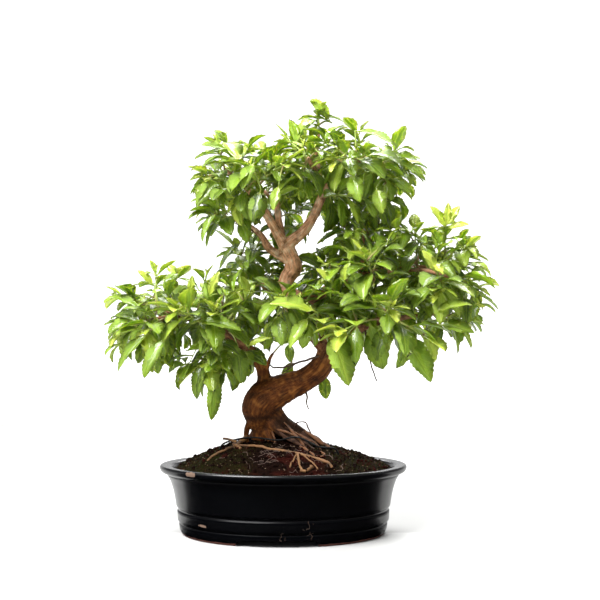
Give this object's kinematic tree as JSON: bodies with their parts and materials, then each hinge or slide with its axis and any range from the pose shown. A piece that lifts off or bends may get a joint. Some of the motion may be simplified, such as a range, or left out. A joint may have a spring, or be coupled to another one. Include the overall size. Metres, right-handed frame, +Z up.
{
  "type": "golden dewdrop bonsai",
  "caption": "Golden dewdrop (Duranta) bonsai: a curved trunk with leafy pads on an open crown, planted on a mound of soil in an oval glazed pot with a flared lip and a notched foot.",
  "frame": {"origin": "middle of the whole tree and pot seen from above, on the surface that the pot's foot stands on", "axes": "+Z up, +X to the right along the oval pot's length, and the front that the picture shows faces -Y"},
  "size_m": [0.4552, 0.2402, 0.4982],
  "materials": {
    "pot_glaze": "gloss",
    "soil": "matte",
    "bark": "matte",
    "leaf": "satin",
    "tie_wire": "satin",
    "screen": "matte"
  },
  "bodies": {
    "root": {"pot": "pot_glaze", "drain_screen_left": "screen", "drain_screen_right": "screen", "soil": "soil", "trunk": "bark", "tie_wire": "tie_wire", "left_shoot_01": "leaf", "left_shoot_02": "leaf", "left_shoot_03": "leaf", "left_shoot_04": "leaf", "left_shoot_05": "leaf", "left_shoot_06": "leaf", "left_shoot_07": "leaf", "left_shoot_08": "leaf", "left_shoot_09": "leaf", "left_shoot_10": "leaf", "left_shoot_11": "leaf", "left_shoot_12": "leaf", "left_shoot_13": "leaf", "left_shoot_14": "leaf", "crown_shoot_01": "leaf", "crown_shoot_02": "leaf", "crown_shoot_03": "leaf", "crown_shoot_04": "leaf", "crown_shoot_05": "leaf", "crown_shoot_06": "leaf", "crown_shoot_07": "leaf", "crown_shoot_08": "leaf", "crown_shoot_09": "leaf", "crown_shoot_10": "leaf", "crown_shoot_11": "leaf", "crown_shoot_12": "leaf", "crown_shoot_13": "leaf", "crown_shoot_14": "leaf", "crown_shoot_15": "leaf", "crown_shoot_16": "leaf", "crown_shoot_17": "leaf", "crown_shoot_18": "leaf", "crown_shoot_19": "leaf", "middle_shoot_01": "leaf", "middle_shoot_02": "leaf", "middle_shoot_03": "leaf", "right_shoot_01": "leaf", "right_shoot_02": "leaf", "right_shoot_03": "leaf", "right_shoot_04": "leaf", "right_shoot_05": "leaf", "right_shoot_06": "leaf", "right_shoot_07": "leaf", "right_shoot_08": "leaf", "right_shoot_09": "leaf", "right_shoot_10": "leaf", "right_shoot_11": "leaf", "right_shoot_12": "leaf", "right_shoot_13": "leaf", "right_shoot_14": "leaf", "right_shoot_15": "leaf", "right_shoot_16": "leaf", "right_shoot_17": "leaf"}
  },
  "joints": []
}
